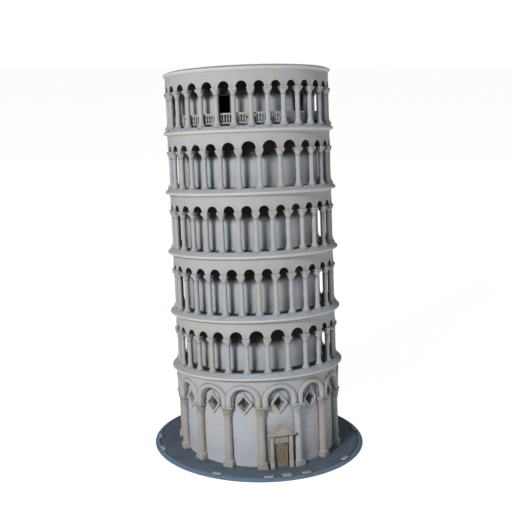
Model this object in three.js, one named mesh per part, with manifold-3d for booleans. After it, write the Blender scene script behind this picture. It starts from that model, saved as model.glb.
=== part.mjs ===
// Souvenir model of a leaning round campanile: arcaded storeys stacked on a level, dished base.
// Millimetres, +Z up, -Y is the front. The origin is the centre of the underside.
// Angles round the tower are in degrees, 0 at the front and growing towards +X.

import * as THREE from 'three';
import { mergeVertices } from 'three/addons/utils/BufferGeometryUtils.js';
import Module from 'manifold-3d';

const wasm = await Module();
wasm.setup();

// ---------------------------------------------------------------- driving dimensions
const GAP = 0.3; // glue gap between castings
const SEGMENTS = 36; // facets of a plain round casting

const BASE = {
  radius: 75, rimTop: 2.4, edgeTop: 0.9, floor: 2.0, underside: 0.5,
  grooveRadius: 71, grooveWidth: 0.8, grooveDepth: 0.6, padRadius: 66, padRecess: 0.4,
};
const KERB = { length: 6.2, depth: 2.6, deepDepth: 4.4, height: 1.0, radius: 71.1 };
const KERB_ANGLES = [-88.5, -70.5, -23, 5, 15, 26, 55, 100];
const DEEP_KERB = 4; // index of the one block that runs further inwards

const LEAN = { back: 4.9, left: 2.2, footX: 0.75, footZ: 1.3 };

// Rims: the outer edge of each floor slab, measured along the leaning axis, and its radius.
const RIMS = [
  { height: 58.4, radius: 60.3 },
  { height: 97.0, radius: 59.9 },
  { height: 139.1, radius: 59.7 },
  { height: 180.5, radius: 59.6 },
  { height: 220.9, radius: 59.0 },
  { height: 260.4, radius: 57.8 },
];
const SLAB = { rise: 2.4, slope: 3.0, lip: 1.6, cove: 0.9, neckRadius: 56.4 };
const CORNICE_RISE = 1.1; // the top cornice is flatter than the floor slabs
const KEY = { side: 24, height: 2.0 }; // square register that keys each casting to the next

const GROUND = {
  wallRadius: 53.5, columnRadius: 54.8, shaftRadius: 2.55, bays: 15, portalAngle: 15.1, portalBay: 26.6,
  plinthWidth: 7.0, plinthHeight: 3.4, plinthOut: 58.2, neck: 32.6, abacusBottom: 36.0, abacusTop: 38.0,
  abacusWidth: 9.2, abacusOut: 58.0, archRadius: 6.9, archCentre: 42.3, bandInner: 54.0, bandOuter: 57.4,
  lozengeHeight: 39.4, lozengeDiagonal: 9.0, lozengeDepth: 2.8,
};
const PALE_COLUMN = 0; // index of the column painted like the galleries, just right of the portal
const PORTAL = {
  wall: 53.85, doorHalf: 4.7, doorFace: 54.9, doorTop: 12.0, jambInner: 5.3, jambOuter: 8.0, jambFace: 56.8,
  jambTop: 17.6, lintelBottom: 12.4, lintelFace: 56.0, pedimentHalf: 10.2, pedimentBack: 56.4,
  pedimentFace: 58.1, pedimentBottom: 18.0, eaves: 19.5, apex: 25.0,
};
const GALLERY = {
  bays: 30, drumRadius: 46.5, bandInner: 52.6, bandOuter: 56.4, legWidth: 4.4, spring: 12.5,
  capitalBottom: 15.2, columnRadius: 54.9, shaftRadius: 1.8, shaftSides: 4, footRadius: 3.2,
  footHeight: 4,
};
// The bays of each arcade are uneven: round bay 0 a swell widens (or narrows) those within its reach.
const ARCADES = [
  { firstBay: 15.2, swell: 0.28, reach: 34 },
  { firstBay: 21.2, swell: -0.03, reach: 28 },
  { firstBay: 20.5, swell: -0.06, reach: 28 },
  { firstBay: 14.5, swell: 0.24, reach: 28 },
  { firstBay: 20.0, swell: -0.07, reach: 28 },
];
const TOP_ROOM = { wall: 3.5, doorWidth: 8.9, doorHeight: 20, doorAngles: [-63.5, -18.6, 47, 110, 170] };
const BALUSTRADE = {
  inner: 51.2, outer: 52.3, height: 8.3, rail: 1.0, lowRail: 1.2, postWidth: 1.6, barWidth: 1.0, bars: 1,
};
const ROOF = { radius: 50, thickness: 1.4, recess: 1.0 };

const COLOURS = {
  stone: ['#b9b8b6', 0.8], drum: ['#aeb2b6', 0.8], ground: ['#bdb7ad', 0.8], slab: ['#8f99a3', 0.8],
  slate: ['#4d5b69', 0.7], kerb: ['#b3b2ac', 0.85], door: ['#8a7765', 0.75], felt: ['#26292c', 1.0],
};

// ---------------------------------------------------------------- helpers
const rad = THREE.MathUtils.degToRad;

const materials = Object.fromEntries(Object.entries(COLOURS).map(([name, [color, roughness]]) =>
  [name, new THREE.MeshStandardMaterial({ name, color, roughness, metalness: 0 })]));

// A closed three.js geometry as a solid that can be cut and joined.
function solid(geometry) {
  const bare = geometry.clone();
  bare.deleteAttribute('normal');
  bare.deleteAttribute('uv');
  const merged = mergeVertices(bare, 1e-4);
  const corners = merged.index.array;
  const kept = [];
  for (let i = 0; i < corners.length; i += 3) {
    const [a, b, c] = [corners[i], corners[i + 1], corners[i + 2]];
    if (a !== b && b !== c && c !== a) kept.push(a, b, c);
  }
  const vertProperties = merged.attributes.position.array;
  return new wasm.Manifold(new wasm.Mesh({ numProp: 3, vertProperties, triVerts: new Uint32Array(kept) }));
}

function named(name, material, shape) {
  const mesh = shape.getMesh();
  const geometry = new THREE.BufferGeometry();
  geometry.setAttribute('position', new THREE.BufferAttribute(mesh.vertProperties, 3));
  geometry.setIndex([...mesh.triVerts]);
  geometry.computeVertexNormals();
  const piece = new THREE.Mesh(geometry, materials[material].clone());
  piece.name = name;
  return piece;
}

// A round casting from [radius, height] pairs that start and end on the axis, listed from the top down.
function turned(profile, segments = SEGMENTS) {
  const points = profile.map(([r, z]) => new THREE.Vector2(r, z)).reverse();
  return solid(new THREE.LatheGeometry(points, segments).rotateX(Math.PI / 2));
}

// A box between low and high corners, then turned round the tower's axis.
function block(low, high, angle = 0) {
  const size = high.map((v, i) => v - low[i]);
  const middle = high.map((v, i) => (v + low[i]) / 2);
  return solid(new THREE.BoxGeometry(...size).translate(...middle).rotateZ(rad(angle)));
}

// An upright outline, drawn as x across and y up, pushed from radius near to radius far at an angle.
function upright(shape, near, far, angle = 0) {
  const geometry = new THREE.ExtrudeGeometry(shape, { depth: far - near, bevelEnabled: false });
  return solid(geometry.rotateX(Math.PI / 2).translate(0, -near, 0).rotateZ(rad(angle)));
}

// A flat ring whose corners lie at the given angles.
function ringPath(Kind, angles, radius) {
  const path = new Kind();
  const corners = angles.map((angle) => [radius * Math.sin(rad(angle)), -radius * Math.cos(rad(angle))]);
  path.setFromPoints([...corners, corners[0]].map(([x, y]) => new THREE.Vector2(x, y)));
  return path;
}

function ring(angles, inner, outer, bottom, top) {
  const shape = ringPath(THREE.Shape, angles, outer);
  shape.holes.push(ringPath(THREE.Path, angles, inner));
  const geometry = new THREE.ExtrudeGeometry(shape, { depth: top - bottom, bevelEnabled: false });
  return solid(geometry.translate(0, 0, bottom));
}

// A doorway outline: straight sides up to the springing, then a half circle.
function archOutline(halfWidth, bottom, spring, segments) {
  const shape = new THREE.Shape([new THREE.Vector2(-halfWidth, bottom), new THREE.Vector2(halfWidth, bottom)]);
  for (let i = 0; i <= segments; i += 1) {
    const turn = (Math.PI * i) / segments;
    shape.lineTo(halfWidth * Math.cos(turn), spring + halfWidth * Math.sin(turn));
  }
  shape.closePath();
  return shape;
}

const keyBlock = (bottom, height, slack = 0) => {
  const half = KEY.side / 2 + slack;
  return block([-half, -half, bottom], [half, half, bottom + height]);
};

// ---------------------------------------------------------------- base
const base = new THREE.Group();
const tower = new THREE.Group();
tower.rotation.set(rad(-LEAN.back), rad(-LEAN.left), 0, 'YXZ');
tower.position.set(LEAN.footX, 0, LEAN.footZ);
tower.updateMatrixWorld();

// Everything that stands on the dish is cut off level, a glue gap above its floor.
const belowFloor = solid(new THREE.BoxGeometry(200, 200, 40)
  .translate(0, 0, BASE.floor + GAP - 20)
  .applyMatrix4(tower.matrixWorld.clone().invert()));

function makeBase() {
  const { radius, rimTop, edgeTop, floor, underside, grooveRadius, grooveWidth, grooveDepth } = BASE;
  const grooveOut = grooveRadius + grooveWidth / 2;
  const grooveIn = grooveRadius - grooveWidth / 2;
  const dish = turned([
    [0, floor], [58, floor], [grooveIn, rimTop], [grooveIn + 0.1, rimTop - grooveDepth],
    [grooveOut - 0.1, rimTop - grooveDepth], [grooveOut, rimTop], [radius, edgeTop],
    [radius - 0.8, underside], [BASE.padRadius + GAP, underside],
    [BASE.padRadius + GAP, underside + BASE.padRecess], [0, underside + BASE.padRecess],
  ], 54);
  const key = solid(new THREE.BoxGeometry(KEY.side, KEY.side, 6).applyMatrix4(tower.matrixWorld));
  base.add(named('base_dish', 'slate', dish.add(key.subtract(block([-30, -30, -9], [30, 30, floor - 0.3])))));

  const padTop = underside + BASE.padRecess - 0.1;
  const pad = turned([[0, padTop], [BASE.padRadius, padTop], [BASE.padRadius, 0], [0, 0]]);
  base.add(named('base_pad', 'felt', pad));

  KERB_ANGLES.forEach((angle, i) => {
    const depth = i === DEEP_KERB ? KERB.deepDepth : KERB.depth;
    const far = KERB.radius + KERB.depth / 2;
    const low = [-KERB.length / 2, -far, rimTop + 0.1];
    const high = [KERB.length / 2, depth - far, rimTop + 0.1 + KERB.height];
    base.add(named(`kerb_block_${i + 1}`, 'kerb', block(low, high, angle)));
  });
}

// ---------------------------------------------------------------- ground storey
const portalEdge = GROUND.portalAngle + GROUND.portalBay / 2;
const plainBay = (360 - GROUND.portalBay) / (GROUND.bays - 1);
const columnAngles = Array.from({ length: GROUND.bays }, (_, i) => portalEdge + i * plainBay);
const groundBays = columnAngles.map((angle, i) =>
  (i === GROUND.bays - 1 ? GROUND.portalAngle : angle + plainBay / 2));

function makeGroundDrum() {
  const top = RIMS[0].height - SLAB.lip - SLAB.cove - GAP;
  const radius = GROUND.wallRadius;
  let drum = turned([[0, top], [radius, top], [radius, -12], [0, -12]], 45);
  const half = GROUND.lozengeDiagonal / 2;
  const lozenge = new THREE.Shape([
    new THREE.Vector2(0, -half), new THREE.Vector2(half, 0), new THREE.Vector2(0, half), new THREE.Vector2(-half, 0),
  ]);
  lozenge.closePath();
  for (const angle of groundBays) {
    const cut = upright(lozenge, radius - GROUND.lozengeDepth, radius + 4, angle);
    drum = drum.subtract(cut.translate(0, 0, GROUND.lozengeHeight));
  }
  drum = drum.subtract(belowFloor).subtract(keyBlock(-12, 12 + 3 + GAP, GAP));
  tower.add(named('ground_drum', 'drum', drum.add(keyBlock(top - 1, 1 + KEY.height))));
}

function makeGroundColumns() {
  const { columnRadius, shaftRadius, wallRadius, plinthWidth, abacusWidth } = GROUND;
  const wall = turned([[0, 70], [wallRadius + GAP, 70], [wallRadius + GAP, -14], [0, -14]], 45);
  columnAngles.forEach((angle, i) => {
    const shaft = turned([
      [0, 37], [4, 37], [4, GROUND.abacusBottom], [shaftRadius, GROUND.neck], [shaftRadius, -12], [0, -12],
    ], 10).translate(0, -columnRadius, 0);
    const at = rad(angle);
    const footLevel = (BASE.floor - LEAN.footZ) - 58 * (Math.sin(at) * Math.sin(rad(LEAN.left))
      + Math.cos(at) * Math.sin(rad(LEAN.back)));
    const abacus = block([-abacusWidth / 2, -GROUND.abacusOut, GROUND.abacusBottom],
      [abacusWidth / 2, -50, GROUND.abacusTop]);
    const plinth = block([-plinthWidth / 2, -GROUND.plinthOut, -14],
      [plinthWidth / 2, -50, footLevel + GROUND.plinthHeight]);
    const column = shaft.add(abacus).add(plinth).rotate([0, 0, angle]);
    const name = `ground_column_${String(i + 1).padStart(2, '0')}`;
    tower.add(named(name, i === PALE_COLUMN ? 'stone' : 'ground', column.subtract(wall).subtract(belowFloor)));
  });
}

function makeGroundArcade() {
  const { bandInner, bandOuter, abacusTop, archRadius, archCentre } = GROUND;
  const angles = columnAngles.flatMap((angle, i) => [angle, groundBays[i]]);
  let band = ring(angles, bandInner, bandOuter, abacusTop + GAP, RIMS[0].height - SLAB.lip - SLAB.cove - GAP);
  for (const angle of groundBays) {
    band = band.subtract(upright(archOutline(archRadius, 30, archCentre, 6), 48, 62, angle));
  }
  tower.add(named('ground_arcade', 'stone', band));
}

function makePortal() {
  const p = PORTAL;
  const angle = GROUND.portalAngle;
  const box = (left, right, bottom, top, back, face) => block([left, -face, bottom], [right, -back, top], angle);
  const jamb = (left, right) => box(left, right, -12, p.jambTop, p.wall, p.jambFace).subtract(belowFloor);
  tower.add(named('portal_jamb_left', 'ground', jamb(-p.jambOuter, -p.jambInner)));
  tower.add(named('portal_jamb_right', 'ground', jamb(p.jambInner, p.jambOuter)));
  const inner = p.jambInner - 0.2;
  const lintel = box(-inner, inner, p.lintelBottom, p.jambTop, p.wall, p.lintelFace);
  tower.add(named('portal_lintel', 'ground', lintel));
  const leaf = box(-p.doorHalf, p.doorHalf, -12, p.doorTop, p.wall, p.doorFace).subtract(belowFloor);
  tower.add(named('portal_door', 'door', leaf));
  const gable = new THREE.Shape([
    new THREE.Vector2(-p.pedimentHalf, p.pedimentBottom), new THREE.Vector2(p.pedimentHalf, p.pedimentBottom),
    new THREE.Vector2(p.pedimentHalf, p.eaves), new THREE.Vector2(0, p.apex),
    new THREE.Vector2(-p.pedimentHalf, p.eaves),
  ]);
  gable.closePath();
  tower.add(named('portal_pediment', 'ground', upright(gable, p.pedimentBack, p.pedimentFace, angle)));
}

// ---------------------------------------------------------------- floor slabs
// Each slab's edge runs out in a cove to a thin lip and slopes back up to the floor of the next storey.
function slabProfile(rim, top) {
  const lipBottom = rim.height - SLAB.lip;
  const bottom = lipBottom - SLAB.cove;
  return [
    [0, top], [rim.radius - SLAB.slope, top], [rim.radius, rim.height], [rim.radius, lipBottom],
    [SLAB.neckRadius, bottom], [0, bottom],
  ];
}

function makeSlabs() {
  RIMS.slice(0, -1).forEach((rim, i) => {
    const top = rim.height + SLAB.rise;
    const bottom = rim.height - SLAB.lip - SLAB.cove;
    const slab = turned(slabProfile(rim, top)).add(keyBlock(top - 1, 1 + KEY.height))
      .subtract(keyBlock(bottom - 1, 1 + KEY.height, GAP));
    tower.add(named(`floor_slab_${i + 1}`, 'slab', slab));
  });
  const rim = RIMS[RIMS.length - 1];
  const top = rim.height + CORNICE_RISE;
  const bed = turned([[0, top + 1], [ROOF.radius + GAP, top + 1], [ROOF.radius + GAP, top - ROOF.recess],
    [0, top - ROOF.recess]]);
  tower.add(named('top_cornice', 'slab', turned(slabProfile(rim, top)).subtract(bed)));
  const deckBottom = top - ROOF.recess + 0.1;
  const deckTop = deckBottom + ROOF.thickness;
  tower.add(named('roof_deck', 'drum', turned([[0, deckTop], [ROOF.radius, deckTop], [ROOF.radius, deckBottom],
    [0, deckBottom]])));
}

// ---------------------------------------------------------------- galleries
// Angles of the columns of one arcade: bay 0 is centred on firstBay, and the bays near it swell.
function bayEdges({ firstBay, swell, reach }) {
  const { bays } = GALLERY;
  const weights = Array.from({ length: bays }, (_, i) => {
    const away = (Math.min(i, bays - i) * 360) / bays / reach;
    return 1 + swell * Math.exp(-away * away);
  });
  const total = weights.reduce((sum, w) => sum + w, 0);
  const widths = weights.map((w) => (w * 360) / total);
  let edge = firstBay - widths[0] / 2;
  return widths.map((width) => {
    const bay = { left: edge, width, centre: edge + width / 2 };
    edge += width;
    return bay;
  });
}

function makeDrum(level, bottom, top) {
  const drum = turned([[0, top], [GALLERY.drumRadius, top], [GALLERY.drumRadius, bottom], [0, bottom]], 36);
  const isTopRoom = level === ARCADES.length;
  if (!isTopRoom) {
    return drum.subtract(keyBlock(bottom - 1, 1 + KEY.height + GAP, GAP)).add(keyBlock(top - 1, 1 + KEY.height));
  }
  const bore = GALLERY.drumRadius - TOP_ROOM.wall;
  let room = drum.subtract(turned([[0, top + 1], [bore, top + 1], [bore, bottom - 1], [0, bottom - 1]], 36));
  for (const angle of TOP_ROOM.doorAngles) {
    const half = TOP_ROOM.doorWidth / 2;
    room = room.subtract(block([-half, -50, bottom - 1], [half, -38, bottom + TOP_ROOM.doorHeight], angle));
  }
  return room;
}

function makeArcade(bays, rimAbove, bottom) {
  const { bandInner, bandOuter, legWidth, spring, capitalBottom, footHeight } = GALLERY;
  const top = rimAbove - SLAB.lip - SLAB.cove - GAP;
  const legEnd = rimAbove - capitalBottom;
  let arcade = ring(bays.map((bay) => bay.left), bandInner, bandOuter, legEnd, top);
  const arches = bays.map(({ centre, width }) => {
    const halfWidth = ((rad(width) * bandOuter) - legWidth) / 2;
    return upright(archOutline(halfWidth, legEnd - 1, rimAbove - spring, 4), 48, 62, centre);
  });
  const columns = bays.map(({ left }) => turned([
    [0, legEnd + 1], [GALLERY.shaftRadius, legEnd + 1], [GALLERY.shaftRadius, bottom + footHeight],
    [GALLERY.footRadius, bottom], [0, bottom],
  ], GALLERY.shaftSides).rotate([0, 0, 45]).translate(0, -GALLERY.columnRadius, 0).rotate([0, 0, left]));
  arcade = arcade.subtract(wasm.Manifold.union(arches));
  return wasm.Manifold.union([arcade, ...columns]);
}

function makeBalustrade(bays, floor) {
  const { inner, outer, height, rail, lowRail, postWidth, barWidth, bars } = BALUSTRADE;
  const angles = bays.map((bay) => bay.left);
  const pieces = [
    ring(angles, inner, outer, floor + height - rail, floor + height),
    ring(angles, inner, outer, floor + lowRail, floor + lowRail + rail),
  ];
  for (const { left, width } of bays) {
    pieces.push(block([-postWidth / 2, -outer, floor + GAP], [postWidth / 2, -inner, floor + height], left));
    for (let i = 1; i <= bars; i += 1) {
      const half = barWidth / 2;
      // the rails run straight from post to post, so a bar between posts stands a little further in
      const chord = Math.cos(rad(width / 2)) / Math.cos(rad(width * (i / (bars + 1) - 0.5)));
      const low = [-half, -outer * chord + 0.1, floor + lowRail + rail / 2];
      const high = [half, -inner * chord - 0.1, floor + height - rail / 2];
      pieces.push(block(low, high, left + (width * i) / (bars + 1)));
    }
  }
  return wasm.Manifold.union(pieces);
}

function makeGalleries() {
  ARCADES.forEach((arcade, i) => {
    const level = i + 1;
    const floor = RIMS[i].height + SLAB.rise;
    const rimAbove = RIMS[i + 1].height;
    const drumTop = rimAbove - SLAB.lip - SLAB.cove - GAP;
    const bays = bayEdges(arcade);
    tower.add(named(`gallery_drum_${level}`, 'drum', makeDrum(level, floor + GAP, drumTop)));
    tower.add(named(`gallery_arcade_${level}`, 'stone', makeArcade(bays, rimAbove, floor + GAP)));
    if (level === ARCADES.length) tower.add(named('balustrade', 'stone', makeBalustrade(bays, floor)));
  });
}

// ---------------------------------------------------------------- assembly
makeBase();
makeGroundDrum();
makeGroundColumns();
makeGroundArcade();
makePortal();
makeSlabs();
makeGalleries();

const group = new THREE.Group();
group.add(base, tower);
export default group;
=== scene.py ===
"""Looks for a souvenir model of a leaning, arcaded round tower on a shallow round base.

Shapes are built in millimetres, in the tower's own upright frame, then leant and scaled to metres.
Angles round the tower are in degrees, 0 at the front (-Y) and growing towards +X.
"""

import math

import bmesh
import bpy
import numpy as np
from mathutils import Matrix, Vector


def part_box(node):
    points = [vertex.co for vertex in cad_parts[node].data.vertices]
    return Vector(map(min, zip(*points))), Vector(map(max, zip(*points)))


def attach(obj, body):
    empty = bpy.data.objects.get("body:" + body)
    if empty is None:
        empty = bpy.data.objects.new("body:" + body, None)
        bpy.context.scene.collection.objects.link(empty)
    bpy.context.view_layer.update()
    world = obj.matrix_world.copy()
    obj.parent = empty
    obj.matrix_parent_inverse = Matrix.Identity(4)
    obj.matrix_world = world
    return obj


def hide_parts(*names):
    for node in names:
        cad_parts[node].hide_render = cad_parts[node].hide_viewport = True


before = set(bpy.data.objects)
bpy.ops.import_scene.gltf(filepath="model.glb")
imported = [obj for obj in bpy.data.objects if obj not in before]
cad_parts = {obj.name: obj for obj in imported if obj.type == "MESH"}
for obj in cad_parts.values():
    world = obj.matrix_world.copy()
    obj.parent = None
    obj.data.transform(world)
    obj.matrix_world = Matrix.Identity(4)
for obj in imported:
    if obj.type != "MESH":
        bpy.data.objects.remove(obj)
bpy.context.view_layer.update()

MM = 0.001

# ------------------------------------------------------------------ driving dimensions, as in the CAD source
GROUND_RIM = 58.4  # height of the first rim up the leaning axis, from the tower's foot
SLAB_RISE, SLAB_SLOPE, SLAB_LIP, SLAB_COVE, SLAB_NECK = 2.4, 3.0, 1.6, 0.9, 56.4
CORNICE_RISE = 1.1
STOREYS = 5
BAYS = 30
DRUM_RADIUS = 46.5
BAND_INNER, BAND_OUTER = 52.6, 56.4
LEG_WIDTH = 4.4
SPRING, CAPITAL_BOTTOM = 12.5, 15.2
COLUMN_RADIUS, SHAFT = 54.9, 1.55
# first bay's middle, swell of the bays round it, and how far the swell reaches, for each gallery
ARCADES = [(15.2, 0.28, 34), (21.2, -0.03, 28), (20.5, -0.06, 28), (14.5, 0.24, 28), (20.0, -0.07, 28)]
TOP_DOORS = [-63.5, -18.6, 47, 110, 170]
DOOR_WIDTH, DOOR_HEIGHT, ROOM_WALL = 8.9, 20, 3.5
WALL_RADIUS = 53.5
GROUND_COLUMN_RADIUS, GROUND_SHAFT = 54.8, 2.55
GROUND_BAYS, PORTAL_ANGLE, PORTAL_BAY = 15, 15.1, 26.6
BASE_FLOOR, BASE_RIM, BASE_EDGE, BASE_UNDER = 2.0, 2.4, 0.9, 0.5
GROOVE_RADIUS, GROOVE_WIDTH, GROOVE_DEPTH = 71, 0.8, 0.6
PALE_COLUMN = 0  # the ground column just right of the portal is painted like the galleries
LOZENGE_HEIGHT = 39.4
FLOOR_CUT = BASE_FLOOR - 0.05  # pieces that stand on the dish are cut off just below its floor
BURIED = -14  # they start this far below the tower's foot, so that the lean leaves no gap
ROOF_RADIUS, ROOF_RINGS = 50, 6
BALUSTRADE_INNER, BALUSTRADE_OUTER, BALUSTERS = 51.2, 52.3, 5
ROUND = 180  # segments round a storey
KERB_BLOCKS, DEEP_KERB = 8, 5


# ------------------------------------------------------------------ where the CAD puts things
def corners(node):
    """Lowest and highest corner of a CAD node, in millimetres."""
    low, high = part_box(node)
    return Vector(low) / MM, Vector(high) / MM


def middle(node):
    low, high = corners(node)
    return (low + high) / 2


def tower_axis():
    return (middle("floor_slab_5") - middle("floor_slab_1")).normalized()


AXIS = tower_axis()
LEAN = Matrix.Rotation(math.atan2(AXIS.x, AXIS.z), 3, "Y") @ Matrix.Rotation(-math.asin(AXIS.y), 3, "X")
TILT = math.sqrt(1 - AXIS.z ** 2)


def rim_of(node, rise):
    """Centre and radius of a slab's outer edge, read from its box; the slab's top is rise above it."""
    low, high = corners(node)
    radius = (high.x - low.x) / 2 / math.sqrt(1 - AXIS.x ** 2)
    centre = (low + high) / 2
    above = (high.z - (radius - SLAB_SLOPE) * TILT) / AXIS.z - rise - centre.z / AXIS.z
    return centre + AXIS * above, radius


RIM_POINTS = [rim_of(f"floor_slab_{i + 1}", SLAB_RISE) for i in range(STOREYS)]
RIM_POINTS.append(rim_of("top_cornice", CORNICE_RISE))
FOOT = RIM_POINTS[0][0] - AXIS * GROUND_RIM
RIMS = [((point - FOOT).dot(AXIS), radius) for point, radius in RIM_POINTS]


# ------------------------------------------------------------------ small mesh tools
def merge(*shells):
    """Several (points, faces) shells as one."""
    points, faces, offset = [], [], 0
    for shell_points, shell_faces in shells:
        points.append(np.asarray(shell_points, float))
        faces += [tuple(i + offset for i in face) for face in shell_faces]
        offset += len(shell_points)
    return np.concatenate(points), faces


def turn(shell, angle):
    c, s = math.cos(math.radians(angle)), math.sin(math.radians(angle))
    points = np.asarray(shell[0], float) @ np.array([[c, s, 0], [-s, c, 0], [0, 0, 1]])
    return points, shell[1]


def shift(shell, x=0, y=0, z=0):
    return np.asarray(shell[0], float) + (x, y, z), shell[1]


def soften(profile, radius, steps=3):
    """Rounds every inner corner of an open (r, z) outline with a small curve."""
    out = [profile[0]]
    for before, corner, after in zip(profile, profile[1:], profile[2:]):
        before, corner, after = (np.array(p, float) for p in (before, corner, after))
        room_in, room_out = np.linalg.norm(before - corner), np.linalg.norm(after - corner)
        cut = min(radius, room_in * 0.45, room_out * 0.45)
        start = corner + (before - corner) * cut / room_in
        end = corner + (after - corner) * cut / room_out
        for i in range(steps + 1):
            t = i / steps
            out.append(tuple((1 - t) ** 2 * start + 2 * t * (1 - t) * corner + t ** 2 * end))
    out.append(profile[-1])
    return out


def revolve(profile, segments=96, closed=False):
    """A round solid from (radius, height) pairs. Ends on the axis become points; closed joins the ends."""
    points, faces, rings = [], [], []
    angles = np.arange(segments) * 2 * math.pi / segments
    for radius, height in profile:
        start = len(points)
        if radius < 1e-6:
            points.append((0, 0, height))
            rings.append([start] * segments)
        else:
            points += [(radius * math.sin(a), -radius * math.cos(a), height) for a in angles]
            rings.append(list(range(start, start + segments)))
    pairs = list(zip(rings, rings[1:])) + ([(rings[-1], rings[0])] if closed else [])
    for low, high in pairs:
        for i in range(segments):
            j = (i + 1) % segments
            face = [low[i], low[j], high[j], high[i]]
            face = list(dict.fromkeys(face))
            if len(face) > 2:
                faces.append(tuple(face))
    return np.array(points), faces


def from_bmesh(bm):
    bm.verts.index_update()
    shell = np.array([v.co[:] for v in bm.verts]), [tuple(v.index for v in f.verts) for f in bm.faces]
    bm.free()
    return shell


def prism(outline, near, far, bevel=0.25, segments=2):
    """An outline of (x, z) points pushed out along -Y from near to far, with softened front edges."""
    bm = bmesh.new()
    back = [bm.verts.new((x, -near, z)) for x, z in outline]
    front = [bm.verts.new((x, -far, z)) for x, z in outline]
    bm.faces.new(back)
    face = bm.faces.new(front[::-1])
    count = len(outline)
    sides = []
    for i in range(count):
        j = (i + 1) % count
        sides.append(bm.faces.new((back[i], front[i], front[j], back[j])))
    edges = list(face.edges) + [e for side in sides for e in side.edges
                                if abs(e.verts[0].co.y - e.verts[1].co.y) > abs(far - near) / 2]
    bmesh.ops.bevel(bm, geom=list(set(edges)), offset=bevel, segments=segments, profile=0.5, affect="EDGES")
    return from_bmesh(bm)


def chamfered(low, high, bevel=0.25, segments=2):
    """A box with softened edges."""
    bm = bmesh.new()
    bmesh.ops.create_cube(bm, size=1)
    size = [h - l for l, h in zip(low, high)]
    centre = [(h + l) / 2 for l, h in zip(low, high)]
    for vert in bm.verts:
        vert.co = Vector(c + v * s for c, v, s in zip(centre, vert.co, size))
    bmesh.ops.bevel(bm, geom=list(bm.edges), offset=bevel, segments=segments, profile=0.5, affect="EDGES")
    return from_bmesh(bm)


# ------------------------------------------------------------------ materials
def srgb(hex_code):
    """A hex colour in linear values."""
    parts = [int(hex_code[i:i + 2], 16) / 255 for i in (1, 3, 5)]
    return tuple(p / 12.92 if p <= 0.04045 else ((p + 0.055) / 1.055) ** 2.4 for p in parts)


BROWN = srgb("#4b3b2c")
UMBER = srgb("#2c2119")
DEEP_SHADE = srgb("#271f16")  # the darkest colour: painted shade under the arches, behind the columns and in hollows, mixed with a real brown wash under the arches


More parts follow.
